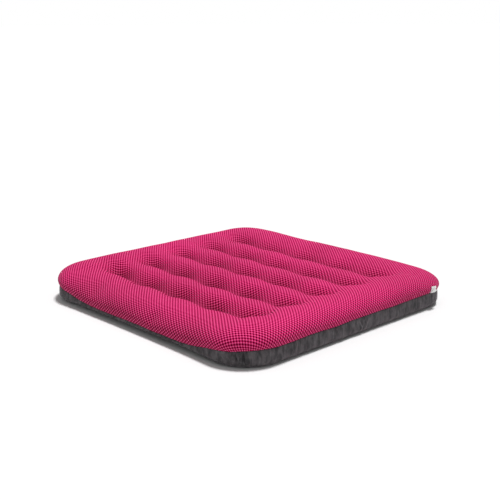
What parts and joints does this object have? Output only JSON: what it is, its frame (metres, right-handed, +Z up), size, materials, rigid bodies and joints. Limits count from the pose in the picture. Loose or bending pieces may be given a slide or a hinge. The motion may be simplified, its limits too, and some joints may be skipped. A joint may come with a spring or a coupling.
{
  "type": "seat cushion",
  "caption": "Tufted square seat cushion with a quilted air-mesh top, a charcoal side band and a zipped foam core.",
  "frame": {"origin": "centre of the footprint, on the plane that the cushion lies on", "axes": "+Z up through the tufted top; -Y towards the front edge; +Y towards the zipped rear edge; +X towards the sitter's left"},
  "size_m": [0.4517, 0.427, 0.054],
  "materials": {
    "air_mesh": "matte",
    "case_fabric": "matte",
    "polyester_fill": "matte",
    "scrim": "matte",
    "thread": "matte",
    "foam": "matte",
    "zip_tape": "matte",
    "zip_coil": "satin",
    "zip_metal": "satin",
    "label": "matte"
  },
  "bodies": {
    "cushion": {"top_cover": "air_mesh", "quilt_fill": "polyester_fill", "quilt_backing": "scrim", "tuft_tie_r1_c1": "thread", "tuft_tie_r1_c2": "thread", "tuft_tie_r1_c3": "thread", "tuft_tie_r1_c4": "thread", "tuft_tie_r1_c5": "thread", "tuft_tie_r2_c1": "thread", "tuft_tie_r2_c2": "thread", "tuft_tie_r2_c3": "thread", "tuft_tie_r2_c4": "thread", "tuft_tie_r2_c5": "thread", "tuft_tie_r3_c1": "thread", "tuft_tie_r3_c2": "thread", "tuft_tie_r3_c3": "thread", "tuft_tie_r3_c4": "thread", "tuft_tie_r3_c5": "thread", "tuft_tie_r4_c1": "thread", "tuft_tie_r4_c2": "thread", "tuft_tie_r4_c3": "thread", "tuft_tie_r4_c4": "thread", "tuft_tie_r4_c5": "thread", "tuft_tie_r5_c1": "thread", "tuft_tie_r5_c2": "thread", "tuft_tie_r5_c3": "thread", "tuft_tie_r5_c4": "thread", "tuft_tie_r5_c5": "thread", "foam_core": "foam", "bottom_cover": "case_fabric", "side_band": "case_fabric", "rear_band_upper": "case_fabric", "rear_band_lower": "case_fabric", "zip_end_tab_left": "case_fabric", "zip_end_tab_right": "case_fabric", "zip_tape_upper": "zip_tape", "zip_tape_lower": "zip_tape", "zip_coil_upper": "zip_coil", "zip_coil_lower": "zip_coil", "zip_top_stop_upper": "zip_metal", "zip_top_stop_lower": "zip_metal", "zip_bottom_stop": "zip_metal", "label": "label"},
    "slider": {"zip_slider": "zip_metal"},
    "pull": {"zip_pull": "zip_metal"}
  },
  "joints": [
    {"name": "zip_slide", "type": "slide", "parent": "cushion", "child": "slider", "axis": [1, 0, 0], "range_m": [0, 0.278]},
    {"name": "pull_flip", "type": "hinge", "parent": "slider", "child": "pull", "pos_m": [-0.139, 0.2116, 0.0125], "axis": [0, 0, 1], "range_deg": [0, 170]}
  ]
}
